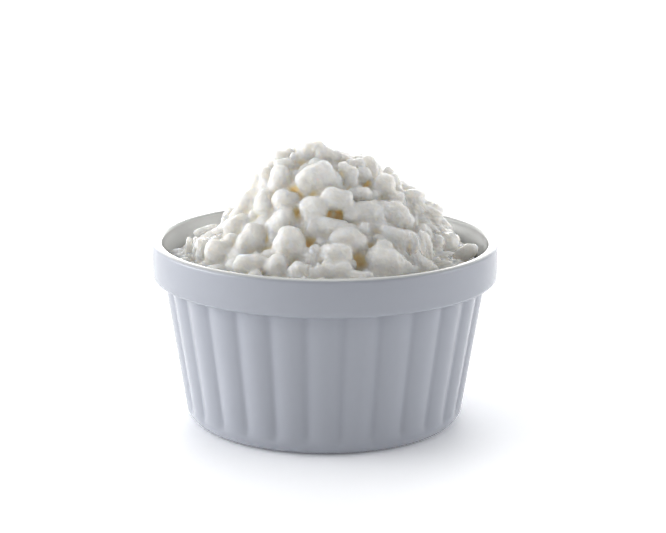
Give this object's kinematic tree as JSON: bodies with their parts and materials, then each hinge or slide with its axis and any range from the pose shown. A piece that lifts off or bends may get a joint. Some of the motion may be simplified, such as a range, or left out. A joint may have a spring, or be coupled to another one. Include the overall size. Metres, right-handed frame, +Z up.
{
  "type": "cottage cheese bowl",
  "caption": "White fluted ramekin with a plain rim band, heaped with cottage cheese in an uneven mound of soft curds.",
  "frame": {"origin": "centre of the foot, on the surface that the bowl stands on", "axes": "+Z up out of the bowl, -Y towards the front of the heap, +X to its right"},
  "size_m": [0.092, 0.092, 0.0743],
  "materials": {
    "white_glaze": "smooth glossy white glaze over stoneware, cool in the shade",
    "fresh_cheese": "moist, softly glossy white curds in cream, ivory in the gaps"
  },
  "bodies": {
    "root": {"ramekin": "white_glaze", "cottage_cheese": "fresh_cheese"}
  },
  "joints": []
}
